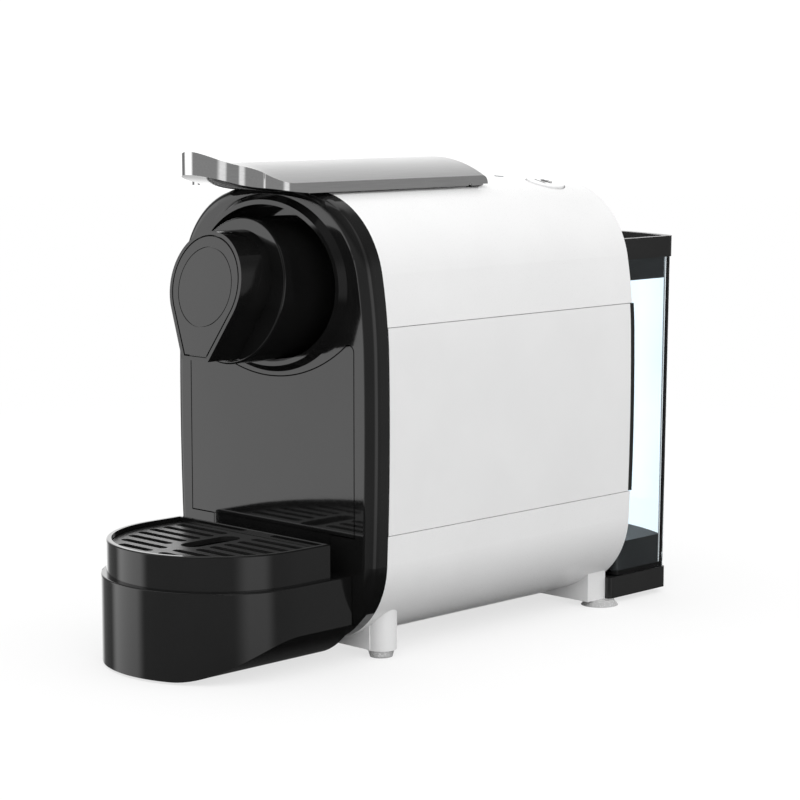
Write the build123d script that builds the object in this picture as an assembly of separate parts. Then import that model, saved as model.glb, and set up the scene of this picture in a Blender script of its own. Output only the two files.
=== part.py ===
"""Pod coffee machine: arch-section body, silver lid lever, cup tray, capsule bin and water tank.

Millimetres. It is drawn with x = 0 on the centre plane, y = 0 on the front face (+Y to the
rear) and z = 0 on the counter, and every piece is then moved along Y so that the origin lies
in the middle of the footprint.
"""

from build123d import *
import math
import os

# ---------------------------------------------------------------- driving dimensions
# Body section: tangent arcs (radius, degrees) from the crown down to the flat bottom.
CROWN_Z = 193.0
SECTION_ARCS = [(106.0, 15.0), (40.0, 64.0), (200.0, 9.8), (1260.0, 3.8), (36.5, 87.4)]
BEZEL_DEPTH = 9.6
BODY_REAR = 162.6
SHELL_WALL = 2.8
PANEL_LOW_Z, PANEL_HIGH_Z = 53.0, 137.5
PANEL_REAR, SLIT_PROUD = 161.2, 1.8
PANEL_WALL = 1.4
SEAM, SPLIT_Z = 0.3, 95.0

# Brew head
COLLAR_Z, COLLAR_A, COLLAR_B, COLLAR_RISE = 152.6, 46.1, 36.5, 2.4
RECESS_FLOOR = 12.0
BREW_Z = 151.3
BARREL_R, BARREL_FRONT, BARREL_Z = 29.5, -19.0, 150.4
NOSE_Z, NOSE_R, NOSE_FRONT = 153.7, 21.4, -34.6
NOSE_FOOT_Z, NOSE_FOOT_HALF = 123.7, 7.9
FACE_LEAN = 11.0
DISC_R = 16.0
SPOUT_Y, CHANNEL_R, CHANNEL_BORE_R = -28.4, 3.4, 2.1

# Capsule bin
BIN_HALF, BIN_LOW_Z, BIN_ARC_R, BIN_ARC_Z, BIN_SEAM = 49.5, 52.5, 74.0, 188.0, 0.5
BOX_HALF, BOX_LOW_Z, BOX_HIGH_Z, BOX_REAR = 39.0, 54.0, 108.0, 92.0

# Carrier that joins the bin to the cup tray
CARRIER_HALF, CARRIER_T, CARRIER_FRONT, CARRIER_REAR = 35.5, 2.4, -9.6, 88.0

# Cup tray
BASE_HALF, BASE_LOW_Z, BASE_HIGH_Z = 48.5, 1.0, 37.0
TRAY_HALF, TRAY_HIGH_Z, TRAY_REAR = 46.2, 51.0, -10.0
TRAY_CENTRE, LEDGE_Y = -28.0, -12.0
KEEL_HALF, KEEL_R = 20.0, 33.4
GRILLE_Z, GRILLE_T = 47.0, 2.0
DRAIN_LENGTH, DRAIN_W, DRAIN_Y = 28.5, 10.0, -33.0
SLOT_PITCH, SLOT_W = 7.4, 3.9

# Lever
LEVER_HALF, LEVER_CREST_Z, LEVER_TOP_R = 29.0, 202.0, 60.0
LEVER_REAR, LEVER_TAIL_GAP, LEVER_TAIL_HALF = 101.0, 5.4, 20.0
SHOULDER_Y, TONGUE_HALF, TONGUE_CENTRE = -12.0, 12.5, -29.8
TONGUE_BEND_Y, TONGUE_BEND_R = -16.0, 72.0
PIVOT_Y, PIVOT_Z, PIN_R = 97.5, 196.5, 1.6
LEVER_SKIN, LEVER_GAP = 1.8, 1.3
CRANK, BOSS_HALF, EAR_LOW_X, EAR_HIGH_X, EAR_R = 17.0, 5.9, 6.2, 9.8, 2.7
LINK_Z = 167.5

# Water tank
TANK_HALF, TANK_FRONT, TANK_CORNER, TANK_BULGE = 49.6, 165.2, 200.4, 11.0
TANK_LOW_Z, TANK_HIGH_Z, TANK_DRAFT, TANK_WALL = 12.4, 155.6, 0.55, 2.2
LID_HIGH_Z, LID_PLUG_Z = 165.0, 146.0
DOCK_LOW_Z, DOCK_HIGH_Z, DOCK_FRONT = 2.6, 12.2, 161.0
VALVE_Y = 182.0

# Water path
PUMP_Z, PUMP_OUT_Y, PUMP_IN_Y = 80.0, 104.0, 146.0

# Chassis and buttons
CHASSIS_Z, POST_X, POST_Y, POST_R = 3.6, 45.0, 20.0, 6.5
REAR_FOOT_X, REAR_FOOT_Y = 45.5, 159.0
BUTTON_X, BUTTON_Y, BUTTON_R = 25.0, 143.0, 8.5
INDICATOR_X, INDICATOR_Y, INDICATOR_R = 8.0, 131.0, 2.2
GLAND_Y, GLAND_Z, GLAND_R, GLAND_BORE_R = 148.0, 42.0, 6.0, 3.4

FOOTPRINT_FRONT = TRAY_CENTRE - BASE_HALF
LID_GROWTH = (LID_HIGH_Z - TANK_LOW_Z) * math.tan(math.radians(TANK_DRAFT))
FOOTPRINT_REAR = TANK_CORNER + TANK_BULGE + LID_GROWTH
CENTRE_Y = (FOOTPRINT_FRONT + FOOTPRINT_REAR) / 2

BOTTOM = (Align.CENTER, Align.CENTER, Align.MIN)


# ---------------------------------------------------------------- shape helpers
def box(x0, x1, y0, y1, z0, z1):
    """Box between two corners."""
    size = Box(x1 - x0, y1 - y0, z1 - z0)
    return Pos((x0 + x1) / 2, (y0 + y1) / 2, (z0 + z1) / 2) * size


def both_sides(solid):
    """The solid and its mirror image across the centre plane."""
    return solid + mirror(solid, Plane.YZ)


def along_y(sketch, y0, y1):
    """Sketch drawn as (x, z), extruded from y0 to y1."""
    return extrude(Pos(0, y0, 0) * (Plane.XZ * sketch), y1 - y0, dir=(0, 1, 0))


def along_x(sketch, x0, x1):
    """Sketch drawn as (y, z), extruded from x0 to x1."""
    return extrude(Pos(x0, 0, 0) * (Plane.YZ * sketch), x1 - x0, dir=(1, 0, 0))


def along_z(sketch, z0, z1):
    """Sketch drawn as (x, y), extruded from z0 to z1."""
    return extrude(Pos(0, 0, z0) * sketch, z1 - z0)


def disc(radius, across=0.0, up=0.0):
    """Filled circle centred at (across, up) of its own plane."""
    return Pos(across, up) * Circle(radius)


def section_sketch(inset=0.0):
    """Filled body section as (x, z), drawn in by inset, or out where inset is negative."""
    point, tangent, half = Vector(0, CROWN_Z - inset), Vector(1, 0), Curve()
    for radius, sweep in SECTION_ARCS:
        arc = JernArc(point, tangent, radius - inset, -sweep)
        half += arc
        point, tangent = arc @ 1, arc % 1
    half += Line(point, (0, point.Y))
    return make_face(half + mirror(half, Plane.YZ))


def body_slab(inset, y0, y1):
    """Full-section slice of the body."""
    return along_y(section_sketch(inset), y0, y1)


def oval(half_x, half_z):
    """Filled oval of the brew head's collar as (x, z)."""
    return Pos(0, COLLAR_Z) * Ellipse(half_x, half_z)


def stadium(half, rear, centre=TRAY_CENTRE):
    """Plan with a half-round front and straight sides back to rear."""
    straight = Pos(0, (centre + rear) / 2) * Rectangle(2 * half, rear - centre)
    front = disc(half, 0, centre) & (Pos(0, centre - half) * Rectangle(2 * half, 2 * half))
    return straight + front


def d_plan(half, front, corner, bulge, radius):
    """Plan with a straight front and sides and a rear that bows out between its corners."""
    corners = [(-half, corner), (-half, front), (half, front), (half, corner)]
    rear = ThreePointArc((half, corner), (0, corner + bulge), (-half, corner))
    face = make_face(Polyline(corners) + rear)
    return fillet(face.vertices(), radius)


def crown_place(x, y, depth=0.0):
    """Location on the crown's arc at x and y, its local +Z square to the surface."""
    radius = SECTION_ARCS[0][0]
    lean = math.degrees(math.asin(x / radius))
    reach = radius - depth
    z = CROWN_Z - radius + reach * math.cos(math.radians(lean))
    return Location((reach * math.sin(math.radians(lean)), y, z), (0, lean, 0))


def lean_cut(y, z, reach=80.0):
    """Everything in front of a face that leans back through (y, z)."""
    block = Pos(0, -reach / 2, 0) * Box(2 * reach, reach, 2 * reach)
    return Pos(0, y, z) * Rot(X=-FACE_LEAN) * block


# ---------------------------------------------------------------- casing
def crank_slots():
    """Two slots in the crown that the lever's crank arms swing through."""
    return both_sides(box(21.8, 26.2, 74.0, 101.0, 180.0, 200.0))


def capsule_mouth(grow=0.0):
    """Rounded opening that a capsule drops through, as (x, y)."""
    mouth = RectangleRounded(39.0 + 2 * grow, 30.0 + 2 * grow, 8.0 + grow)
    return Pos(0, 34.0) * mouth


def button_holes(radius, depth):
    """Cylinders square to the crown where the two buttons sit."""
    holes = [crown_place(x, BUTTON_Y) for x in (-BUTTON_X, BUTTON_X)]
    return sum((place * Cylinder(radius, depth) for place in holes), Part())


def side_panel(side):
    """Skin panel set flush into the shell's side."""
    skin = body_slab(0, BEZEL_DEPTH + SEAM, PANEL_REAR) - body_slab(PANEL_WALL, 0, BODY_REAR)
    window = box(40.0, 70.0, 0, BODY_REAR, PANEL_LOW_Z + SEAM, PANEL_HIGH_Z - SEAM)
    return skin & (window if side > 0 else mirror(window, Plane.YZ))


def whole_shell():
    """White shell round the works, with a shallow pocket on each side for its panel."""
    shell = body_slab(0, BEZEL_DEPTH, BODY_REAR) - body_slab(SHELL_WALL, 0, BODY_REAR)
    pocket = body_slab(0, BEZEL_DEPTH, PANEL_REAR) - body_slab(PANEL_WALL + 0.1, 0, BODY_REAR)
    tail = body_slab(0, PANEL_REAR, BODY_REAR) - body_slab(SHELL_WALL, 0, BODY_REAR)
    window = box(-70.0, 70.0, 0, BODY_REAR, PANEL_LOW_Z, PANEL_HIGH_Z)
    shell -= (pocket + tail) & window
    shell -= along_z(capsule_mouth(), 180.0, 200.0)
    shell -= crank_slots()
    shell -= button_holes(BUTTON_R + 0.5, 12.0)
    shell -= crown_place(INDICATOR_X, INDICATOR_Y) * Cylinder(INDICATOR_R, 12.0)
    gland = Pos(-57.0, GLAND_Y, GLAND_Z) * Rot(Y=90) * Cylinder(GLAND_R, 20.0)
    return shell - gland


def upper_shell():
    """Arched top half of the shell; its lower edge is hidden behind the panels."""
    return whole_shell() & box(-70.0, 70.0, 0, 170.0, SPLIT_Z, 200.0)


def lower_shell():
    """Trough-shaped bottom half of the shell."""
    return whole_shell() & box(-70.0, 70.0, 0, 170.0, 0, SPLIT_Z)


def rear_cover():
    """Black plate that closes the shell's rear and shows in the slit behind each panel."""
    plate = body_slab(SHELL_WALL + 0.1, 157.4, BODY_REAR)
    rim = body_slab(0.5, PANEL_REAR + 0.1, BODY_REAR)
    rim += both_sides(box(53.0, 70.0, BODY_REAR, 170.0, 0, 200.0)) & body_slab(0.5, 0, BODY_REAR + SLIT_PROUD)
    window = box(-70.0, 70.0, 0, 170.0, PANEL_LOW_Z + SEAM, PANEL_HIGH_Z - SEAM)
    cover = plate + (rim & window)
    return cover - along_y(disc(4.0, 0, 30.0), 150.0, 170.0)


def bin_outline(grow=0.0):
    """Capsule-bin front as (x, z): a dished top edge under the collar, peaks at the sides."""
    high = BIN_ARC_Z - 40.0
    height = high - BIN_LOW_Z + grow
    panel = Pos(0, BIN_LOW_Z - grow + height / 2) * Rectangle(2 * (BIN_HALF + grow), height)
    panel -= disc(BIN_ARC_R - grow, 0, BIN_ARC_Z)
    peaks = panel.vertices().sort_by(Axis.Y)[-2:]
    return fillet(peaks, 2.6 + grow)


def front_bezel():
    """Gloss black front: a deep ring with a rounded front edge and a flat face inside it."""
    bezel = body_slab(0, 0, BEZEL_DEPTH)
    bezel = fillet(bezel.faces().sort_by(Axis.Y)[0].edges(), 4.8)
    bezel -= body_slab(3.0, 4.0, BEZEL_DEPTH)
    bezel -= along_y(bin_outline(BIN_SEAM), -1.0, 5.0)
    slot = CARRIER_HALF + 0.35
    bezel -= box(-slot, slot, -1.0, 5.0, BASE_HIGH_Z - 0.35, BIN_LOW_Z)
    bezel -= along_y(oval(44.3, 34.7), -1.0, 5.0)
    return bezel


def head_collar():
    """Oval rim, proud of the face, round a recess that the barrel comes out of."""
    rim = loft([
        Plane.XZ * oval(COLLAR_A, COLLAR_B),
        Pos(0, -COLLAR_RISE, 0) * (Plane.XZ * oval(43.7, 34.1)),
    ])
    tub = rim + along_y(oval(44.1, 34.5), 0, RECESS_FLOOR + 2.0)
    tub -= along_y(oval(41.8, 32.2), -5.0, RECESS_FLOOR)
    return tub - along_y(disc(CHANNEL_R + 0.3, 0, BREW_Z), 0, 20.0)


def brew_barrel():
    """Round barrel of the brew head, closed by a face that leans back."""
    outer = along_y(disc(BARREL_R, 0, BARREL_Z), -60.0, RECESS_FLOOR)
    inner = along_y(disc(BARREL_R - 2.5, 0, BARREL_Z), -60.0, RECESS_FLOOR)
    outer -= lean_cut(BARREL_FRONT, BARREL_Z)
    inner -= lean_cut(BARREL_FRONT + 2.5, BARREL_Z)
    outer = fillet(outer.faces().sort_by(Axis.Y)[0].edges(), 0.8)
    return outer - inner - along_y(disc(CHANNEL_R + 0.3, 0, BREW_Z), -60.0, 0)


def teardrop(inset=0.0):
    """Nose outline as (x, z): a round top that runs straight down to a narrow flat foot."""
    radius = NOSE_R - inset
    foot_z = NOSE_FOOT_Z + inset
    foot_half = NOSE_FOOT_HALF - 0.72 * inset
    drop = NOSE_Z - foot_z
    reach = math.hypot(foot_half, drop)
    turn = math.acos(radius / reach) + math.atan2(-drop, foot_half)
    touch = (radius * math.cos(turn), NOSE_Z + radius * math.sin(turn))
    top = ThreePointArc(touch, (0, NOSE_Z + radius), (-touch[0], touch[1]))
    sides = Polyline([(-touch[0], touch[1]), (-foot_half, foot_z), (foot_half, foot_z), touch])
    return make_face(top + sides)


def outlet_nose():
    """Hollow teardrop nose on the barrel's face, with the cap's seat in its front."""
    nose = along_y(teardrop(), -60.0, 0) - lean_cut(NOSE_FRONT, NOSE_Z)
    nose &= lean_cut(BARREL_FRONT, BARREL_Z)
    nose -= along_y(teardrop(2.2), -60.0, 0) - lean_cut(NOSE_FRONT + 2.9, NOSE_Z)
    nose -= along_y(teardrop(1.5), -60.0, 0) & lean_cut(NOSE_FRONT + 1.6, NOSE_Z)
    return nose - along_z(disc(CHANNEL_R + 0.2, 0, SPOUT_Y), 110.0, 130.0)


def outlet_cap():
    """Cover on the nose's face, inside a thin border, with an inset round line."""
    cap = along_y(teardrop(2.1), -60.0, 0) - lean_cut(NOSE_FRONT, NOSE_Z)
    cap &= lean_cut(NOSE_FRONT + 1.5, NOSE_Z)
    ring = disc(DISC_R, 0, NOSE_Z - 0.8) - disc(DISC_R - 0.35, 0, NOSE_Z - 0.8)
    return cap - (along_y(ring, -60.0, 0) & lean_cut(NOSE_FRONT + 0.35, NOSE_Z))


def outlet_channel():
    """Brew channel from the piercing plate through the barrel, down to the spout."""
    channel = along_y(disc(CHANNEL_R, 0, BREW_Z), SPOUT_Y, 18.0)
    channel += along_z(disc(CHANNEL_R, 0, SPOUT_Y), 128.0, BREW_Z)
    channel += Pos(0, SPOUT_Y, BREW_Z) * Sphere(CHANNEL_R)
    channel -= along_y(disc(CHANNEL_BORE_R, 0, BREW_Z), SPOUT_Y, 20.0)
    return channel - along_z(disc(CHANNEL_BORE_R, 0, SPOUT_Y), 127.0, BREW_Z)


def outlet_spout():
    """Spout that guides the coffee out of the nose's underside."""
    spout = along_z(disc(CHANNEL_R, 0, SPOUT_Y), NOSE_FOOT_Z - 0.4, 128.0)
    return spout - along_z(disc(CHANNEL_BORE_R, 0, SPOUT_Y), 121.0, 129.0)


# ---------------------------------------------------------------- lever
def lever_plan(inset=0.0):
    """Lever seen from above: a wide plate that draws in to a narrow round tongue."""
    half, tongue = LEVER_HALF - inset, TONGUE_HALF - inset
    rear = LEVER_REAR - inset
    shoulder = (half, SHOULDER_Y)
    neck = (tongue, TONGUE_CENTRE)
    middle = ((half + tongue) / 2, (SHOULDER_Y + TONGUE_CENTRE) / 2)
    waist = TangentArc(shoulder, middle, tangent=(0, -1))
    waist += TangentArc(neck, middle, tangent=(0, 1))
    side = Line((half, rear), shoulder) + waist
    tip = ThreePointArc(neck, (0, TONGUE_CENTRE - tongue), (-tongue, TONGUE_CENTRE))
    back = Line((-half, rear), (half, rear))
    return make_face(side + tip + mirror(side, Plane.YZ) + back)


def lever_section(half, crest, radius, low):
    """Lever cross-section as (x, z): arched top, straight sides, flat bottom."""
    shoulder = crest - radius + math.sqrt(radius**2 - half**2)
    top = ThreePointArc((-half, shoulder), (0, crest), (half, shoulder))
    rest = Polyline([(half, shoulder), (half, low), (-half, low), (-half, shoulder)])
    return make_face(top + rest)


def lever_cavity(shrink=0.0):
    """Space under the lever's skin."""
    crest = LEVER_CREST_Z - LEVER_SKIN - shrink
    low = 185.0
    half = LEVER_HALF - 2.4 - shrink
    hollow = lever_section(half, crest, LEVER_TOP_R - LEVER_SKIN - shrink, low)
    return along_y(hollow, 0.5 + shrink, LEVER_REAR - 1.2 - shrink)


def lever_handle():
    """Silver lid lever: arched plate, straight skirt, upturned tongue in front."""
    section = lever_section(LEVER_HALF + 4.0, LEVER_CREST_Z, LEVER_TOP_R, 186.0)
    plate = along_y(section, TONGUE_BEND_Y, LEVER_REAR)
    rear_arch = plate.faces().sort_by(Axis.Y)[-1].edges().sort_by(Axis.Z)[-1]
    plate = fillet(rear_arch, 3.0)
    bend_axis = Axis((0, TONGUE_BEND_Y, LEVER_CREST_Z + TONGUE_BEND_R), (1, 0, 0))
    bent_face = Pos(0, TONGUE_BEND_Y, 0) * (Plane.XZ * section)
    solid = plate + revolve(bent_face, bend_axis, -28.0)
    solid &= along_z(lever_plan(), 180.0, 215.0)
    tip, root = (-43.0, 198.0), (-4.0, 190.4)
    under = Spline(tip, (-26.0, 193.6), root, tangents=((1, -0.3), (1, -0.05)))
    under += Polyline([root, (root[0], 170.0), (-60.0, 170.0), (-60.0, tip[1]), tip])
    solid -= along_x(make_face(under), -60.0, 60.0)
    solid -= body_slab(-LEVER_GAP, -6.0, LEVER_REAR + 5.0)
    tail = body_slab(-LEVER_TAIL_GAP, PIVOT_Y + 0.5, LEVER_REAR + 5.0)
    solid -= tail & box(-LEVER_TAIL_HALF, LEVER_TAIL_HALF, 90.0, 110.0, 180.0, 210.0)
    solid -= body_slab(-1.9, PIVOT_Y + 0.5, LEVER_REAR + 5.0)
    solid -= both_sides(along_x(disc(1.1, 90.0, 190.2), 24.0, 32.0))
    solid -= lever_cavity()
    gap = (EAR_LOW_X - 0.4, EAR_HIGH_X + 0.4, PIVOT_Y - 4.0, LEVER_REAR + 1.0)
    return solid - both_sides(box(*gap, 185.0, PIVOT_Z + 3.1))


def lever_frame():
    """Black frame under the lever's skin: two ribs, cross ties, hinge bosses and crank arms."""
    ribs = both_sides(box(14.4, 19.2, 2.0, 96.0, 185.0, 205.0))
    ties = sum((box(-25.4, 25.4, y, y + 3.0, 185.0, 205.0) for y in (8.0, 50.0, 88.0)), Part())
    boss = along_x(disc(EAR_R + 0.4, PIVOT_Y, PIVOT_Z), -BOSS_HALF, BOSS_HALF)
    boss += box(-BOSS_HALF, BOSS_HALF, 88.0, PIVOT_Y, PIVOT_Z - 0.5, 205.0)
    frame = ribs + ties - body_slab(-2.2, -10.0, BODY_REAR)
    frame = (frame + boss) & lever_cavity(0.1)
    arm = box(22.6, 25.4, PIVOT_Y - 3.0, PIVOT_Y + 2.0, PIVOT_Z - CRANK, PIVOT_Z - 2.6)
    arm += along_x(disc(4.0, PIVOT_Y, PIVOT_Z - CRANK), 22.6, 25.4)
    arm += box(22.6, 25.4, 88.0, PIVOT_Y + 2.0, 191.9, PIVOT_Z - 2.6)
    arm -= along_x(disc(2.1, PIVOT_Y, PIVOT_Z - CRANK), 20.0, 30.0)
    frame += both_sides(arm)
    return frame - along_x(disc(PIN_R + 0.1, PIVOT_Y, PIVOT_Z), -30.0, 30.0)


def hinge_bracket():
    """Two ears on the crown that carry the lever's pin."""
    ear = along_x(disc(EAR_R, PIVOT_Y, PIVOT_Z), EAR_LOW_X, EAR_HIGH_X)
    ear += box(EAR_LOW_X, EAR_HIGH_X, PIVOT_Y - EAR_R, PIVOT_Y + EAR_R, 188.0, PIVOT_Z)
    ears = both_sides(ear) - body_slab(0, 0, BODY_REAR)
    return ears - along_x(disc(PIN_R + 0.03, PIVOT_Y, PIVOT_Z), -30.0, 30.0)


def lever_pin():
    """Steel hinge pin."""
    return along_x(disc(PIN_R, PIVOT_Y, PIVOT_Z), -EAR_HIGH_X, EAR_HIGH_X)


# ---------------------------------------------------------------- brew unit
def capsule_chute():
    """Guide from the capsule mouth down to the brew chamber."""
    chute = along_z(capsule_mouth(1.8), 175.2, 196.0) - along_z(capsule_mouth(), 170.0, 200.0)
    return chute & body_slab(SHELL_WALL + 0.1, 0, BODY_REAR)


def drop_guide():
    """Walls that lead a used capsule down into the bin."""
    sketch = Pos(0, 34.5) * (RectangleRounded(50.0, 33.0, 4.0) - RectangleRounded(46.0, 29.0, 3.0))
    return along_z(sketch, 109.0, 127.9)


def brew_frame():
    """Metal frame that takes the force of the closed chamber."""
    front = along_y(Pos(0, 151.0) * Rectangle(58.0, 46.0), RECESS_FLOOR + 2.0, 18.0)
    rear = box(-29.0, 29.0, 112.0, 116.0, 128.0, 160.0)
    sides = both_sides(box(25.6, 29.0, 18.0, 112.0, 128.0, 174.0))
    frame = front + rear + sides
    frame -= along_y(disc(CHANNEL_R + 0.3, 0, BREW_Z), 10.0, 20.0)
    return frame - along_y(disc(5.5, 0, BREW_Z), 105.0, 120.0)


def piercing_plate():
    """Fixed plate whose studs open the capsule's foil."""
    plate = along_y(disc(19.0, 0, BREW_Z), 18.0, 20.0)
    plate -= along_y(disc(CHANNEL_BORE_R, 0, BREW_Z), 17.0, 21.0)
    for x in (-8.0, 0.0, 8.0):
        for z in (-8.0, 8.0):
            stud = Cone(1.4, 0.5, 1.2, align=(Align.CENTER, Align.CENTER, Align.MIN))
            plate += Pos(x, 20.0, BREW_Z + z) * Rot(X=-90) * stud
    return plate


def brew_chamber():
    """Cup that closes over the capsule and slides back as the lever lifts."""
    cup = along_y(disc(22.0, 0, BREW_Z), 22.2, 58.0)
    cup -= along_y(disc(18.6, 0, BREW_Z), 22.0, 26.0) + along_y(disc(15.6, 0, BREW_Z), 22.0, 50.0)
    wings = both_sides(box(20.0, 25.2, 30.0, 56.0, BREW_Z - 4.0, BREW_Z + 4.0))
    lugs = both_sides(box(14.6, 18.8, 46.0, 56.0, BREW_Z + 8.0, LINK_Z + 4.0))
    stem = along_y(disc(4.0, 0, BREW_Z), 58.0, 76.0)
    solid = cup + wings + lugs + stem
    solid -= along_y(disc(15.6, 0, BREW_Z), 26.0, 50.0)
    return solid - along_y(disc(1.6, 0, BREW_Z), 45.0, 80.0)


def chamber_seal():
    """Soft ring on the chamber's mouth."""
    return along_y(disc(21.0, 0, BREW_Z) - disc(18.7, 0, BREW_Z), 21.4, 22.2)


def drive_links():
    """Two links on the chamber's lugs that run back to the lever's crank arms."""
    bar = box(18.8, 21.6, 51.0, 92.0, LINK_Z - 2.5, LINK_Z + 2.5)
    for y in (51.0, 92.0):
        bar += along_x(disc(4.0, y, LINK_Z), 18.8, 21.6)
    return both_sides(bar - along_x(disc(2.0, 92.0, LINK_Z), 10.0, 30.0))


# ---------------------------------------------------------------- capsule bin and cup tray
def bin_front():
    """Gloss front of the capsule bin, flush with the face."""
    return along_y(bin_outline(), 0, 3.0)


def capsule_bin():
    """Open-topped drawer that catches used capsules."""
    outer = box(-BOX_HALF, BOX_HALF, 3.0, BOX_REAR, BOX_LOW_Z, BOX_HIGH_Z)
    outer = fillet(outer.edges().filter_by(Axis.Z), 4.0)
    inner = box(-BOX_HALF + 2.0, BOX_HALF - 2.0, 5.0, BOX_REAR - 2.0, BOX_LOW_Z + 2.0, 120.0)
    return outer - fillet(inner.edges().filter_by(Axis.Z), 2.5)


def drawer_carrier():
    """Bent plate that carries the bin and hooks onto the tray's rear ledge."""
    ledge = BASE_HIGH_Z
    plate = box(-CARRIER_HALF, CARRIER_HALF, 3.0, CARRIER_REAR, BOX_LOW_Z - CARRIER_T, BOX_LOW_Z)
    riser = box(-CARRIER_HALF, CARRIER_HALF, 0, 3.0, ledge, BIN_LOW_Z - 0.2)
    hook = box(-CARRIER_HALF, CARRIER_HALF, CARRIER_FRONT, 3.0, ledge, ledge + CARRIER_T)
    return plate + riser + hook


def keel():
    """Space above the tray's underside: flat in the middle, sweeping up at the sides."""
    half = Curve() + Line((0, BASE_LOW_Z), (KEEL_HALF, BASE_LOW_Z))
    half += JernArc((KEEL_HALF, BASE_LOW_Z), (1, 0), KEEL_R, 80.0)
    end = half.vertices().sort_by(Axis.X)[-1]
    half += Polyline([(end.X, end.Y), (80.0, 80.0), (0, 80.0)])
    return along_y(make_face(half + mirror(half, Plane.YZ)), -120.0, 20.0)


def drain(grow):
    """Long round-ended drain opening, as (x, y)."""
    return Pos(0, DRAIN_Y) * Rot(Z=90) * SlotOverall(DRAIN_LENGTH + 2 * grow, DRAIN_W + 2 * grow)


def drip_tray_base():
    """Deep black base of the cup tray, hollow, with an underside that sweeps up."""
    outer = along_z(stadium(BASE_HALF, -0.4), 0, BASE_HIGH_Z) & keel()
    rim = outer.faces().sort_by(Axis.Z)[-1].edges()
    outer = fillet(rim, 0.7)
    cavity = along_z(stadium(BASE_HALF - 2.6, LEDGE_Y), 0, 60.0)
    return outer - (cavity & (Pos(0, 0, 2.6) * keel()))


def drip_tray_upper():
    """Shallow tray on the base, with a raised rim and a drain in its floor."""
    outer = along_z(stadium(TRAY_HALF, TRAY_REAR), BASE_HIGH_Z, TRAY_HIGH_Z)
    outer = fillet(outer.faces().sort_by(Axis.Z)[-1].edges(), 0.8)
    outer -= along_z(stadium(TRAY_HALF - 2.2, TRAY_REAR - 2.2), GRILLE_Z, 60.0)
    outer -= along_z(stadium(TRAY_HALF - 3.8, TRAY_REAR - 3.8), BASE_HIGH_Z + 2.0, 60.0)
    return outer - along_z(drain(0), 30.0, 60.0)


def cup_grille():
    """Slotted cup stand with a long drain opening and a plain spine down its middle."""
    half, rear = TRAY_HALF - 2.5, TRAY_REAR - 2.5
    plate = along_z(stadium(half, rear), GRILLE_Z, GRILLE_Z + GRILLE_T)
    rows = int((rear - TRAY_CENTRE + half - 8.0) / SLOT_PITCH) + 1
    slots = Sketch()
    for row in range(rows):
        y = rear - 5.0 - row * SLOT_PITCH
        reach = half if y > TRAY_CENTRE else math.sqrt(half**2 - (y - TRAY_CENTRE) ** 2)
        outer = reach - 5.0
        beside_drain = abs(y - DRAIN_Y) < (DRAIN_LENGTH + SLOT_W) / 2 + 1.0
        inner = DRAIN_W / 2 + 3.2 if beside_drain else 2.6
        if outer - inner > 2 * SLOT_W:
            slot = Pos((inner + outer) / 2, y) * SlotOverall(outer - inner, SLOT_W)
            slots += slot + mirror(slot, Plane.YZ)
    plate -= along_z(slots, 40.0, 60.0)
    return plate - along_z(drain(0), 40.0, 60.0)


# ---------------------------------------------------------------- water tank
def tank_prism(inset, z0, z1, radius):
    """Drafted tank form between two heights, drawn in by inset."""
    grow = (z0 - TANK_LOW_Z) * math.tan(math.radians(TANK_DRAFT)) - inset
    front, corner = TANK_FRONT - grow, TANK_CORNER + grow
    plan = d_plan(TANK_HALF + grow, front, corner, TANK_BULGE, radius)
    return extrude(Pos(0, 0, z0) * plan, z1 - z0, taper=-TANK_DRAFT)


def tank_body():
    """Clear tank, open at the top, with a valve hole in its floor."""
    tank = tank_prism(0, TANK_LOW_Z, TANK_HIGH_Z, 4.0)
    tank -= tank_prism(TANK_WALL, TANK_LOW_Z + 2.0, TANK_HIGH_Z + 1.0, 2.4)
    return tank - along_z(disc(7.4, 0, VALVE_Y), 0, 30.0)


def tank_base_cap():
    """Black insert in the foot of the tank."""
    cap = tank_prism(TANK_WALL + 0.1, TANK_LOW_Z + 2.0, 27.5, 2.2)
    cap -= along_z(disc(7.4, 0, VALVE_Y), 0, 26.0)
    return cap - along_z(disc(2.4, 0, VALVE_Y), 0, 40.0)


def tank_lid():
    """Black lid: a rim on the tank's edge, a dished top and a plug inside the tank."""
    lid = tank_prism(0, TANK_HIGH_Z, LID_HIGH_Z, 4.0)
    lid += tank_prism(TANK_WALL + 0.5, LID_PLUG_Z, TANK_HIGH_Z, 2.4)
    lid -= tank_prism(3.4, LID_HIGH_Z - 4.5, LID_HIGH_Z + 5.0, 3.0)
    return lid - tank_prism(5.2, LID_PLUG_Z - 1.0, LID_HIGH_Z - 6.5, 2.0)


def tank_valve():
    """Spring-loaded plunger in the tank's foot."""
    stem = along_z(disc(2.0, 0, VALVE_Y), 15.2, 27.0)
    return stem + along_z(disc(6.4, 0, VALVE_Y), 17.0, 18.6)


def valve_spring():
    """Coil spring that shuts the tank valve."""
    path = Pos(0, VALVE_Y, 19.3) * Helix(pitch=1.6, height=6.0, radius=4.2)
    profile = Plane(origin=path @ 0, z_dir=path % 0) * Circle(0.35)
    return sweep(profile, path)


def tank_dock():
    """Black shelf on the chassis that the tank stands on."""
    plan = d_plan(TANK_HALF + 0.4, DOCK_FRONT, TANK_CORNER, TANK_BULGE, 2.0)
    dock = along_z(plan, DOCK_LOW_Z, DOCK_HIGH_Z)
    inner = d_plan(TANK_HALF - 2.6, DOCK_FRONT + 3.0, TANK_CORNER - 3.0, TANK_BULGE, 2.0)
    dock -= along_z(inner, DOCK_LOW_Z - 1.0, DOCK_HIGH_Z - 2.4)
    dock -= body_slab(-0.2, 150.0, BODY_REAR + 0.2)
    return dock - along_z(disc(5.2, 0, VALVE_Y), 0, 20.0)


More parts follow.
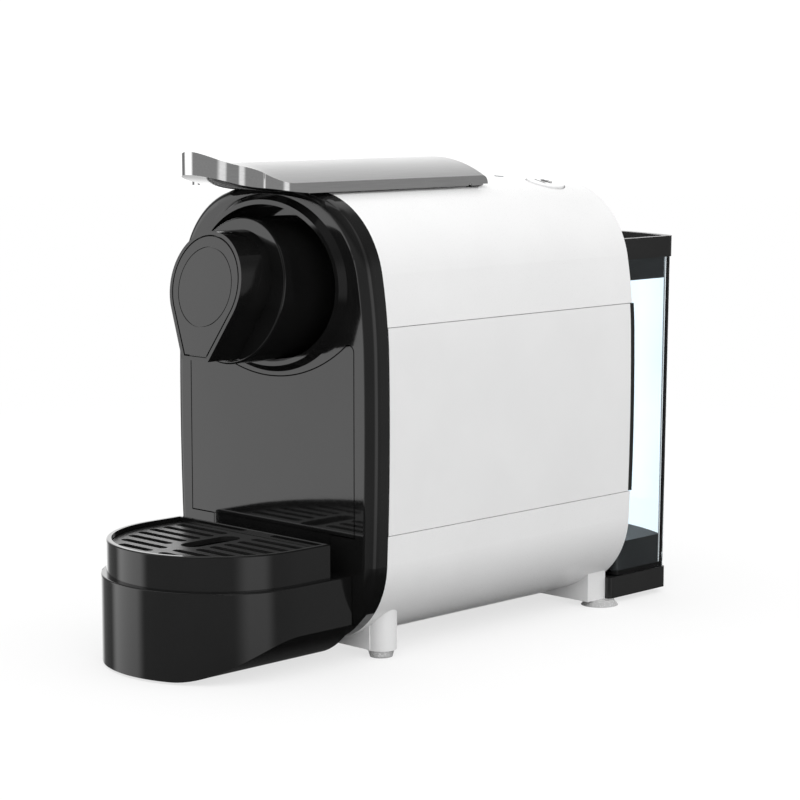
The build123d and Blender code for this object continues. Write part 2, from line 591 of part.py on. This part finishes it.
def dock_spigot():
    """Outlet spigot that lifts the tank valve."""
    spigot = along_z(disc(5.2, 0, VALVE_Y), DOCK_LOW_Z + 1.0, DOCK_HIGH_Z)
    spigot += along_z(disc(6.8, 0, VALVE_Y), DOCK_HIGH_Z, DOCK_HIGH_Z + 2.0)
    return spigot - along_z(disc(3.2, 0, VALVE_Y), 0, 20.0)


# ---------------------------------------------------------------- chassis
def chassis_base():
    """White chassis under the shell: a spine, two cross members and two front posts."""
    spine = box(-22.0, 22.0, 12.0, 160.0, CHASSIS_Z, 20.0)
    front = box(-POST_X, POST_X, 13.0, 27.0, CHASSIS_Z, 30.0)
    rear = box(-47.0, 47.0, 149.0, DOCK_FRONT, DOCK_LOW_Z, 30.0)
    posts = both_sides(along_z(disc(POST_R, POST_X, POST_Y), CHASSIS_Z - 0.4, 30.0))
    solid = spine + front + rear + posts - body_slab(0, 0, 200.0)
    return solid - box(-60.0, 60.0, 0, 170.0, 22.0, 60.0)


def foot_pads():
    """Four clear bumper feet."""
    front = Pos(POST_X, POST_Y, 0) * Cone(4.7, 5.6, CHASSIS_Z - 0.4, align=BOTTOM)
    rear = Pos(REAR_FOOT_X, REAR_FOOT_Y, 0) * Cone(8.4, 6.6, DOCK_LOW_Z, align=BOTTOM)
    return both_sides(front + rear)


def chassis_screws():
    """Four pan-head screws that hold the shell to the chassis."""
    screw = Part()
    for y in (50.0, 120.0):
        head = Pos(14.0, y, CHASSIS_Z - 1.6) * Cylinder(3.2, 1.6, align=BOTTOM)
        recess = Pos(14.0, y, CHASSIS_Z - 1.7) * Box(3.6, 0.9, 0.8, align=BOTTOM)
        screw += head - recess
    return both_sides(screw)


# ---------------------------------------------------------------- water path and electrics
def pump_coil():
    """Solenoid coil block of the vibration pump."""
    block = fillet(box(-18.0, 18.0, 108.0, 140.0, 62.0, 98.0).edges(), 2.0)
    return block - along_y(disc(9.0, 0, PUMP_Z), 100.0, 150.0)


def pump_body():
    """Pump barrel through the coil, with its two hose ends."""
    barrel = along_y(disc(9.0, 0, PUMP_Z), 106.5, 142.0)
    return barrel + along_y(disc(4.0, 0, PUMP_Z), PUMP_OUT_Y, PUMP_IN_Y)


def pump_mounts():
    """Rubber saddles under the pump."""
    saddles = [box(-16.0, 16.0, y, y + 5.0, 50.0, 62.0) for y in (111.0, 132.0)]
    return sum(saddles, Part())


def pump_shelf():
    """Moulded shelf that carries the pump and the heater."""
    shelf = box(-40.0, 40.0, 100.0, 149.0, 47.0, 50.0)
    legs = both_sides(box(34.0, 37.0, 100.0, 149.0, 5.0, 47.0))
    posts = both_sides(box(28.0, 31.0, 122.0, 149.0, 50.0, 112.0))
    return (shelf + legs + posts) & body_slab(SHELL_WALL, 0, 157.0)


def thermoblock():
    """Cast heater block with cooling ribs on its top."""
    block = fillet(box(-32.0, 32.0, 120.0, 154.0, 112.0, 138.0).edges(), 3.0)
    ribs = sum((box(-28.0, 28.0, y, y + 2.0, 138.0, 142.0) for y in (124, 132, 140, 148)), Part())
    return block + ribs


def hose(points, bend, radius=2.6, bore=1.4):
    """Round hose of straight runs joined by arcs."""
    path = FilletPolyline(*points, radius=bend)
    plane = Plane(origin=path @ 0, z_dir=path % 0)
    return sweep(plane * (Circle(radius) - Circle(bore)), path)


def pressure_hose():
    """Hose from the pump's outlet up to the heater."""
    front = PUMP_OUT_Y - 6.5
    top = 125.0
    return hose([(0, PUMP_OUT_Y, PUMP_Z), (0, front, PUMP_Z), (0, front, top), (0, 120.0, top)], 5.5)


def suction_hose():
    """Hose from the flow meter up to the pump's inlet."""
    rear = PUMP_IN_Y + 7.0
    low = 24.0
    return hose([(0, PUMP_IN_Y, PUMP_Z), (0, rear, PUMP_Z), (0, rear, low), (0, 138.0, low)], 5.5)


def flow_meter():
    """Round flow meter on the shell's floor."""
    meter = along_z(disc(12.0, 0, 126.0), 12.0, 30.0) + along_z(disc(9.0, 0, 126.0), 30.0, 33.0)
    return meter + box(-16.0, 16.0, 122.0, 130.0, 8.9, 12.0)


def control_board():
    """Main circuit board on the left wall."""
    return box(-50.0, -48.4, 60.0, 150.0, 62.0, 128.0)


def board_parts():
    """Relay, capacitor and connectors on the main board."""
    relay = box(-48.4, -42.0, 70.0, 86.0, 70.0, 84.0)
    plug = box(-48.4, -43.0, 128.0, 144.0, 104.0, 112.0)
    capacitor = Pos(-44.4, 104.0, 78.0) * Rot(Y=90) * Cylinder(5.0, 8.0)
    return relay + plug + capacitor


def button_board():
    """Small board under the two buttons."""
    return box(-34.0, 34.0, 126.0, 152.0, 176.0, 177.6)


def button_switches():
    """Tact switches and their domes under the buttons."""
    switch = Part()
    for x in (-BUTTON_X, BUTTON_X):
        switch += box(x - 5.4, x + 1.0, 140.0, 146.0, 177.6, 180.2)
    return switch


def button(side):
    """Round push button, square to the crown and slightly proud of it."""
    place = crown_place(side * BUTTON_X, BUTTON_Y)
    cap = Pos(0, 0, -2.2) * Cylinder(BUTTON_R, 5.6)
    cap = fillet(cap.edges().sort_by(Axis.Z)[-1], 0.5)
    stem = Pos(0, 0, -6.4) * Cylinder(2.6, 3.4)
    return place * (cap + stem)


def indicator_lens():
    """Small lens of the ready light."""
    return crown_place(INDICATOR_X, INDICATOR_Y, 1.3) * Cylinder(INDICATOR_R - 0.1, 3.0)


def cord_gland():
    """Bush in the shell's left side where the mains lead enters."""
    bush = along_x(disc(GLAND_R - 0.1, GLAND_Y, GLAND_Z), -62.0, -50.0) & body_slab(0, 0, 160.0)
    bush += along_x(disc(GLAND_R + 1.8, GLAND_Y, GLAND_Z), -54.6, -52.4)
    return bush - along_x(disc(GLAND_BORE_R, GLAND_Y, GLAND_Z), -70.0, -40.0)


PIECES = {
    "upper_shell": upper_shell,
    "lower_shell": lower_shell,
    "side_panel_left": lambda: side_panel(-1),
    "side_panel_right": lambda: side_panel(1),
    "rear_cover": rear_cover,
    "front_bezel": front_bezel,
    "head_collar": head_collar,
    "brew_barrel": brew_barrel,
    "outlet_nose": outlet_nose,
    "outlet_cap": outlet_cap,
    "outlet_channel": outlet_channel,
    "outlet_spout": outlet_spout,
    "lever_handle": lever_handle,
    "lever_frame": lever_frame,
    "hinge_bracket": hinge_bracket,
    "lever_pin": lever_pin,
    "capsule_chute": capsule_chute,
    "drop_guide": drop_guide,
    "brew_frame": brew_frame,
    "piercing_plate": piercing_plate,
    "brew_chamber": brew_chamber,
    "chamber_seal": chamber_seal,
    "drive_links": drive_links,
    "bin_front": bin_front,
    "capsule_bin": capsule_bin,
    "drawer_carrier": drawer_carrier,
    "drip_tray_base": drip_tray_base,
    "drip_tray_upper": drip_tray_upper,
    "cup_grille": cup_grille,
    "tank_body": tank_body,
    "tank_base_cap": tank_base_cap,
    "tank_lid": tank_lid,
    "tank_valve": tank_valve,
    "valve_spring": valve_spring,
    "tank_dock": tank_dock,
    "dock_spigot": dock_spigot,
    "chassis_base": chassis_base,
    "foot_pads": foot_pads,
    "chassis_screws": chassis_screws,
    "pump_coil": pump_coil,
    "pump_body": pump_body,
    "pump_mounts": pump_mounts,
    "pump_shelf": pump_shelf,
    "thermoblock": thermoblock,
    "pressure_hose": pressure_hose,
    "suction_hose": suction_hose,
    "flow_meter": flow_meter,
    "control_board": control_board,
    "board_parts": board_parts,
    "button_board": button_board,
    "button_switches": button_switches,
    "button_left": lambda: button(-1),
    "button_right": lambda: button(1),
    "indicator_lens": indicator_lens,
    "cord_gland": cord_gland,
}

os.makedirs("parts", exist_ok=True)
for name, make in PIECES.items():
    export_step(Pos(0, -CENTRE_Y, 0) * make(), f"parts/{name}.step")
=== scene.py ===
"""Looks for the pod coffee machine: materials, small trim, light, floor and camera.

Metres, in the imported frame: +Z up, +Y to the rear, origin in the middle of the footprint.
"""

import math

import bpy
from mathutils import Matrix, Vector


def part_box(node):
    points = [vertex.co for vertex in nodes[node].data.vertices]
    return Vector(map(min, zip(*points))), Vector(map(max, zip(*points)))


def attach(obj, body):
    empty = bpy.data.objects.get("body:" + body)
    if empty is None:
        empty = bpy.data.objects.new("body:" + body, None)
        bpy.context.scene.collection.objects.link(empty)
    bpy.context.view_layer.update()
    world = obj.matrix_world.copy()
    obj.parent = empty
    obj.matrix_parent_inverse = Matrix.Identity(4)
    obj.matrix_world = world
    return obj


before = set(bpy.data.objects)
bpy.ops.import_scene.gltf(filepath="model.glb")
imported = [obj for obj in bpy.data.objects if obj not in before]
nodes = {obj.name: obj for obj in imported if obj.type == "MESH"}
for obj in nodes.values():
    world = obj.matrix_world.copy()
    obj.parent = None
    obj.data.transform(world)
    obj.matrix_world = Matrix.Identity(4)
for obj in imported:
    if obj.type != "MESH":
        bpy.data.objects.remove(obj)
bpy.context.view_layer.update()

MM = 0.001

# ---------------------------------------------------------------- camera
CAMERA_PLACE = (0.7286, -0.7304, 0.2353)
CAMERA_AZIMUTH, CAMERA_PITCH = 44.6, 7.61
CAMERA_LENS = 108.0


def make_camera():
    """Camera at the three-quarter view from the front right, slightly above."""
    data = bpy.data.cameras.new("camera")
    data.lens = CAMERA_LENS
    data.clip_start, data.clip_end = 0.05, 60.0
    camera = bpy.data.objects.new("camera", data)
    azimuth, pitch = math.radians(CAMERA_AZIMUTH), math.radians(CAMERA_PITCH)
    level = math.cos(pitch)
    look = Vector((-math.sin(azimuth) * level, math.cos(azimuth) * level, -math.sin(pitch)))
    camera.rotation_euler = look.to_track_quat("-Z", "Y").to_euler()
    camera.location = CAMERA_PLACE
    bpy.context.scene.collection.objects.link(camera)
    bpy.context.scene.camera = camera


# ---------------------------------------------------------------- node helpers
class Tree:
    """Short calls for building a shader node tree."""

    def __init__(self, owner):
        owner.use_nodes = True
        self.tree = owner.node_tree
        self.tree.nodes.clear()

    def node(self, kind, **values):
        """New node; keywords set its properties."""
        made = self.tree.nodes.new("ShaderNode" + kind)
        for key, value in values.items():
            setattr(made, key, value)
        return made

    def set(self, node, **values):
        """Socket values or links by name, with _ for a space."""
        for key, value in values.items():
            self.feed(node.inputs[key.replace("_", " ")], value)
        return node

    def feed(self, socket, value):
        if isinstance(value, bpy.types.NodeSocket):
            self.tree.links.new(value, socket)
        else:
            socket.default_value = value

    def math(self, operation, *values):
        """Result of a math node."""
        made = self.node("Math", operation=operation)
        for socket, value in zip(made.inputs, values):
            self.feed(socket, value)
        return made.outputs[0]

    def ramp(self, fac, stops, smooth=True):
        """Grey ramp through (place, value) stops."""
        made = self.node("ValToRGB")
        ramp = made.color_ramp
        ramp.interpolation = "EASE" if smooth else "LINEAR"
        for place, value in stops[1:-1]:
            ramp.elements.new(place)
        for element, (place, value) in zip(ramp.elements, stops):
            element.position = place
            element.color = (value, value, value, 1.0)
        self.feed(made.inputs["Fac"], fac)
        return made.outputs["Color"]

    def noise(self, scale, detail=4.0, stretch=(1.0, 1.0, 1.0)):
        """Fractal noise in object space."""
        place = self.node("TexCoord").outputs["Object"]
        mapping = self.set(self.node("Mapping"), Vector=place, Scale=stretch)
        made = self.node("TexNoise")
        self.set(made, Vector=mapping.outputs[0], Scale=scale, Detail=detail)
        return made.outputs["Fac"]

    def spread(self, value, low, high):
        """Maps noise, which stays near 0.3 to 0.7, to low to high."""
        made = self.node("MapRange")
        self.set(made, Value=value, From_Min=0.3, From_Max=0.7, To_Min=low, To_Max=high)
        return made.outputs[0]

    def tint(self, fac, first, second):
        """Colour between two colours."""
        made = self.node("Mix", data_type="RGBA")
        self.feed(made.inputs[0], fac)
        self.feed(made.inputs[6], (*first, 1.0))
        self.feed(made.inputs[7], (*second, 1.0))
        return made.outputs[2]

    def bump(self, height, strength, distance):
        """Normal from a height."""
        made = self.node("Bump")
        self.set(made, Height=height, Strength=strength, Distance=distance)
        return made.outputs[0]

    def mix(self, fac, first, second):
        """Shader between two shaders."""
        made = self.node("MixShader")
        for socket, value in zip(made.inputs, (fac, first, second)):
            self.feed(socket, value)
        return made.outputs[0]

    def show(self, shader, output="OutputMaterial"):
        """Sends the shader to the tree's output."""
        self.feed(self.node(output).inputs["Surface"], shader)


def grey(value):
    return (value, value, value)


def surface(name, colours, roughness, grain, bump, stretch=(1.0, 1.0, 1.0), **shader):
    """Material with noise in its colour, roughness and bump.

    colours and roughness are (low, high); grain is the noise scale per metre; bump is the
    height of the grain in metres; shader sets constant sockets of the Principled shader.
    """
    made = bpy.data.materials.new(name)
    tree = Tree(made)
    bsdf = tree.node("BsdfPrincipled")
    blotch = tree.noise(30.0, 3.0, stretch)
    fine = tree.noise(grain, 5.0, stretch)
    tree.feed(bsdf.inputs["Base Color"], tree.tint(tree.spread(blotch, 0.0, 1.0), *colours))
    tree.feed(bsdf.inputs["Roughness"], tree.spread(fine, *roughness))
    tree.feed(bsdf.inputs["Normal"], tree.bump(fine, 0.5, bump))
    for key, value in shader.items():
        bsdf.inputs[key.replace("_", " ")].default_value = value
    tree.show(bsdf.outputs[0])
    return made


# ---------------------------------------------------------------- materials
def make_materials():
    """Every material by name."""
    return {
        "white_shell": surface("white_shell", (grey(0.90), grey(0.93)), (0.26, 0.34), 2500.0,
                               0.00001, Coat_Weight=0.15, Coat_Roughness=0.12),
        "white_panel": surface("white_panel", (grey(0.88), grey(0.91)), (0.30, 0.38), 3000.0,
                               0.00001),
        "gloss_black": surface("gloss_black", (grey(0.006), grey(0.009)), (0.05, 0.09), 900.0,
                               0.000002, Coat_Weight=0.3, Coat_Roughness=0.03),
        "satin_black": surface("satin_black", (grey(0.010), grey(0.016)), (0.28, 0.36), 3000.0,
                               0.00002),
        "matte_black": surface("matte_black", (grey(0.016), grey(0.024)), (0.42, 0.55), 3500.0,
                               0.00004),
        "steel": surface("steel", (grey(0.52), grey(0.64)), (0.22, 0.34), 900.0, 0.000005,
                         stretch=(1.0, 12.0, 12.0), Metallic=1.0),
        "clear_rubber": surface("clear_rubber", (grey(0.88), grey(0.94)), (0.18, 0.30), 1500.0,
                                0.00002, Transmission_Weight=0.4, IOR=1.42),
        "black_rubber": surface("black_rubber", (grey(0.018), grey(0.03)), (0.6, 0.75), 2500.0,
                                0.00003),
        "nylon": surface("nylon", ((0.70, 0.68, 0.62), (0.76, 0.74, 0.69)), (0.4, 0.5), 2000.0,
                         0.00002),
        "cast_aluminium": surface("cast_aluminium", (grey(0.42), grey(0.56)), (0.38, 0.55), 1400.0,
                                  0.00008, Metallic=1.0),
        "coil_paint": surface("coil_paint", ((0.05, 0.055, 0.06), (0.08, 0.085, 0.09)), (0.3, 0.42),
                              1800.0, 0.00003, Metallic=0.3),
        "circuit_board": surface("circuit_board", ((0.012, 0.10, 0.045), (0.02, 0.15, 0.07)),
                                 (0.25, 0.4), 1200.0, 0.00002),
        "part_case": surface("part_case", ((0.03, 0.04, 0.08), (0.05, 0.06, 0.1)), (0.4, 0.5),
                             1500.0, 0.00002),
        "ink": surface("ink", (grey(0.008), grey(0.012)), (0.35, 0.45), 2500.0, 0.00001),
        "silver": silver_material(),
        "tank_clear": tank_material(),
    }


def silver_material():
    """Metallised lever: satin where it faces up, polished on its edge."""
    made = bpy.data.materials.new("silver")
    tree = Tree(made)
    bsdf = tree.node("BsdfPrincipled")
    up = tree.node("SeparateXYZ")
    tree.feed(up.inputs[0], tree.node("NewGeometry").outputs["Normal"])
    top = tree.ramp(up.outputs["Z"], [(0.0, 0.0), (0.72, 0.0), (0.80, 1.0), (1.0, 1.0)])
    grain = tree.noise(1500.0, 5.0, (1.0, 0.05, 1.0))
    rough = tree.math("MULTIPLY_ADD", top, tree.spread(grain, 0.26, 0.34), 0.07)
    tree.feed(bsdf.inputs["Base Color"],
              tree.tint(tree.spread(grain, 0.0, 1.0), grey(0.74), grey(0.80)))
    tree.feed(bsdf.inputs["Roughness"], rough)
    tree.feed(bsdf.inputs["Normal"], tree.bump(grain, 0.3, 0.000003))
    bsdf.inputs["Metallic"].default_value = 1.0
    tree.show(bsdf.outputs[0])
    return made


def tank_material():
    """Clear plastic with a faint blue tint and moulding ripple."""
    made = bpy.data.materials.new("tank_clear")
    tree = Tree(made)
    bsdf = tree.node("BsdfPrincipled")
    ripple = tree.noise(25.0, 2.0)
    tree.feed(bsdf.inputs["Base Color"],
              tree.tint(tree.spread(ripple, 0.0, 1.0), (0.82, 0.91, 0.96), (0.86, 0.93, 0.97)))
    tree.feed(bsdf.inputs["Roughness"], tree.spread(ripple, 0.01, 0.03))
    tree.feed(bsdf.inputs["Normal"], tree.bump(ripple, 0.2, 0.0001))
    bsdf.inputs["Transmission Weight"].default_value = 1.0
    bsdf.inputs["IOR"].default_value = 1.35
    tree.show(bsdf.outputs[0])
    return made


FINISHES = {
    "white_shell": ["upper_shell", "lower_shell", "chassis_base", "button_left", "button_right"],
    "white_panel": ["side_panel_left", "side_panel_right"],
    "gloss_black": ["front_bezel", "head_collar", "brew_barrel", "outlet_nose", "outlet_cap",
                    "bin_front", "drip_tray_base", "drip_tray_upper", "drawer_carrier"],
    "satin_black": ["cup_grille", "tank_lid", "tank_dock", "rear_cover"],
    "matte_black": ["capsule_bin", "tank_base_cap", "lever_frame", "hinge_bracket",
                    "capsule_chute", "drop_guide", "pump_shelf", "cord_gland", "dock_spigot"],
    "silver": ["lever_handle"],
    "steel": ["lever_pin", "brew_frame", "piercing_plate", "drive_links", "valve_spring",
              "chassis_screws"],
    "tank_clear": ["tank_body", "indicator_lens"],
    "clear_rubber": ["foot_pads"],
    "black_rubber": ["chamber_seal", "pump_mounts", "pressure_hose", "suction_hose"],
    "nylon": ["brew_chamber", "outlet_channel", "outlet_spout", "tank_valve", "flow_meter",
              "pump_body"],
    "cast_aluminium": ["thermoblock"],
    "coil_paint": ["pump_coil"],
    "circuit_board": ["control_board", "button_board"],
    "part_case": ["board_parts", "button_switches"],
}


def assign_finishes(materials):
    """Gives every CAD node its material."""
    for finish, names in FINISHES.items():
        for name in names:
            for slot in nodes[name].material_slots:
                slot.material = materials[finish]


# ---------------------------------------------------------------- printed icons on the buttons
CROWN_RADIUS = 106.0 * MM
BUTTON_X, BUTTON_PROUD = 25.0 * MM, 0.6 * MM
ICON_THICKNESS = 0.12 * MM
ICON_WIDTH = 9.0 * MM


def arc_points(centre, radius, start, end, count):
    """Points on an arc, angles in degrees."""
    turns = [math.radians(start + (end - start) * i / (count - 1)) for i in range(count)]
    return [(centre[0] + radius * math.cos(t), centre[1] + radius * math.sin(t)) for t in turns]


def band(centre, radius, width, start, end, count=20):
    """Outline of a curved band."""
    outer = arc_points(centre, radius + width / 2, start, end, count)
    return outer + arc_points(centre, radius - width / 2, end, start, count)


def cup_outlines(steam):
    """Outlines of a cup on a saucer in a unit square, with or without steam above it."""
    bowl = [(-0.30, 0.14)] + arc_points((-0.02, 0.06), 0.28, 190, 350, 18) + [(0.26, 0.14)]
    outlines = [bowl, band((0.27, 0.02), 0.09, 0.05, -90, 90)]
    outlines.append([(-0.42, -0.34), (-0.36, -0.42), (0.32, -0.42), (0.38, -0.34)])
    for x in (-0.14, 0.08) if steam else (-0.03,):
        outlines.append(band((x, 0.26), 0.07, 0.045, -80, 80, 9))
    return outlines


def print_icon(name, outlines, place, body, material):
    """Thin raised shapes on a surface; place takes the unit square to the row frame."""
    verts, faces = [], []
    for outline in outlines:
        count, first = len(outline), len(verts)
        for level in (-1.0, 1.0):
            verts += [place @ Vector((x * ICON_WIDTH, y * ICON_WIDTH, level * ICON_THICKNESS / 2))
                      for x, y in outline]
        faces.append([first + i for i in reversed(range(count))])
        faces.append([first + count + i for i in range(count)])
        faces += [(first + i, first + (i + 1) % count, first + count + (i + 1) % count,
                   first + count + i) for i in range(count)]
    mesh = bpy.data.meshes.new(name)
    mesh.from_pydata([tuple(v) for v in verts], [], faces)
    mesh.validate()
    mesh.materials.append(material)
    icon = bpy.data.objects.new(name, mesh)
    bpy.context.scene.collection.objects.link(icon)
    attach(icon, body)
    return icon


def make_icons(materials):
    """A generic cup on each button."""
    for side, body, steam in ((-1, "button_left", False), (1, "button_right", True)):
        low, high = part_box(body)
        x = side * BUTTON_X
        lean = math.asin(x / CROWN_RADIUS)
        reach = CROWN_RADIUS + BUTTON_PROUD
        crown_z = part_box("upper_shell")[1].z
        centre = Vector((reach * math.sin(lean), (low.y + high.y) / 2,
                         crown_z - CROWN_RADIUS + reach * math.cos(lean)))
        place = Matrix.Translation(centre) @ Matrix.Rotation(lean, 4, "Y")
        print_icon(body + "_icon", cup_outlines(steam), place, body, materials["ink"])


# ---------------------------------------------------------------- light and floor
FLOOR_RADIUS = 4.0
FLOOR_SEEN, FLOOR_BOUNCE = 0.95, 0.40
SHADOW_NEAR, SHADOW_FAR, SHADOW_FADE = 0.25, 0.75, 0.7
EVEN_LIGHT, SOFTBOX_LIGHT = 1.1, 2.0
KEY_SIZE, KEY_WATTS, KEY_PLACE = 1.6, 9.0, (1.4, -1.2, 1.8)

# Softboxes seen in reflections: (azimuth in degrees from +X, brightness).
RING = [
    (-180, 0.10), (-172, 0.10), (-158, 0.72), (-130, 0.72), (-118, 0.13), (-30, 0.13),
    (-12, 0.45), (2, 0.45), (15, 0.13), (92, 0.13), (122, 0.75), (152, 0.75), (172, 0.12),
    (180, 0.10),
]
# Their brightness by height: (0 straight down to 1 straight up, share).
HEIGHT = [(0.0, 0.02), (0.30, 0.03), (0.42, 1.0), (0.62, 1.0), (0.78, 0.35), (1.0, 0.6)]


def make_world():
    """Soft light: even for matt surfaces, and a ring of softboxes for reflections."""
    world = bpy.data.worlds.new("studio")
    bpy.context.scene.world = world
    tree = Tree(world)
    direction = tree.node("SeparateXYZ")
    tree.feed(direction.inputs[0], tree.node("TexCoord").outputs["Generated"])
    x, y, z = direction.outputs
    turn = tree.math("ARCTAN2", y, x)
    place = tree.math("MULTIPLY_ADD", turn, 1 / (2 * math.pi), 0.5)

    ring = tree.ramp(place, [((degrees + 180.0) / 360.0, value) for degrees, value in RING])
    height = tree.ramp(tree.math("MULTIPLY_ADD", z, 0.5, 0.5), HEIGHT)
    soft = tree.math("MULTIPLY", ring, height)
    soft = tree.math("MULTIPLY", soft, SOFTBOX_LIGHT)
    path = tree.node("LightPath")
    mirrored = tree.node("Background")
    tree.set(mirrored, Color=(1, 1, 1, 1), Strength=soft)
    even = tree.node("Background")
    tree.set(even, Color=(1, 1, 1, 1), Strength=EVEN_LIGHT)
    light = tree.mix(path.outputs["Is Glossy Ray"], even.outputs[0], mirrored.outputs[0])
    tree.show(light, "OutputWorld")


def make_floor():
    """Pale floor that takes a faint contact shadow and fades into the backdrop."""
    bpy.ops.mesh.primitive_circle_add(vertices=96, radius=FLOOR_RADIUS, fill_type="NGON")
    floor = bpy.context.object
    floor.name = "floor"
    made = bpy.data.materials.new("floor")
    tree = Tree(made)
    matt = tree.node("BsdfDiffuse")
    tree.set(matt, Color=(*grey(FLOOR_SEEN), 1.0))
    dim = tree.node("BsdfDiffuse")
    tree.set(dim, Color=(*grey(FLOOR_BOUNCE), 1.0))
    glow = tree.node("Emission")
    tree.set(glow, Color=(*grey(1.0), 1.0), Strength=1.0)
    clear = tree.node("BsdfTransparent")
    path = tree.node("LightPath")
    place = tree.node("VectorMath", operation="LENGTH")
    tree.feed(place.inputs[0], tree.node("TexCoord").outputs["Object"])
    far = tree.ramp(place.outputs["Value"], [(SHADOW_NEAR, 0.0), (SHADOW_FAR, 1.0)])
    far = tree.math("MAXIMUM", far, SHADOW_FADE)
    seen = tree.mix(far, matt.outputs[0], glow.outputs[0])
    lit = tree.mix(path.outputs["Is Camera Ray"], dim.outputs[0], seen)
    through = tree.mix(path.outputs["Is Transmission Ray"], lit, seen)
    tree.show(tree.mix(path.outputs["Is Glossy Ray"], through, clear.outputs[0]))
    floor.data.materials.append(made)


def make_lights():
    """Large softbox high on the front right, to shape the white shell gently."""
    data = bpy.data.lights.new("key", "AREA")
    data.size, data.energy = KEY_SIZE, KEY_WATTS
    light = bpy.data.objects.new("key", data)
    light.location = KEY_PLACE
    light.rotation_euler = (-light.location).to_track_quat("-Z", "Y").to_euler()
    light.visible_glossy = False
    bpy.context.scene.collection.objects.link(light)


make_camera()
materials = make_materials()
assign_finishes(materials)
make_icons(materials)
make_world()
make_floor()
make_lights()
bpy.context.scene.view_settings.view_transform = "Standard"
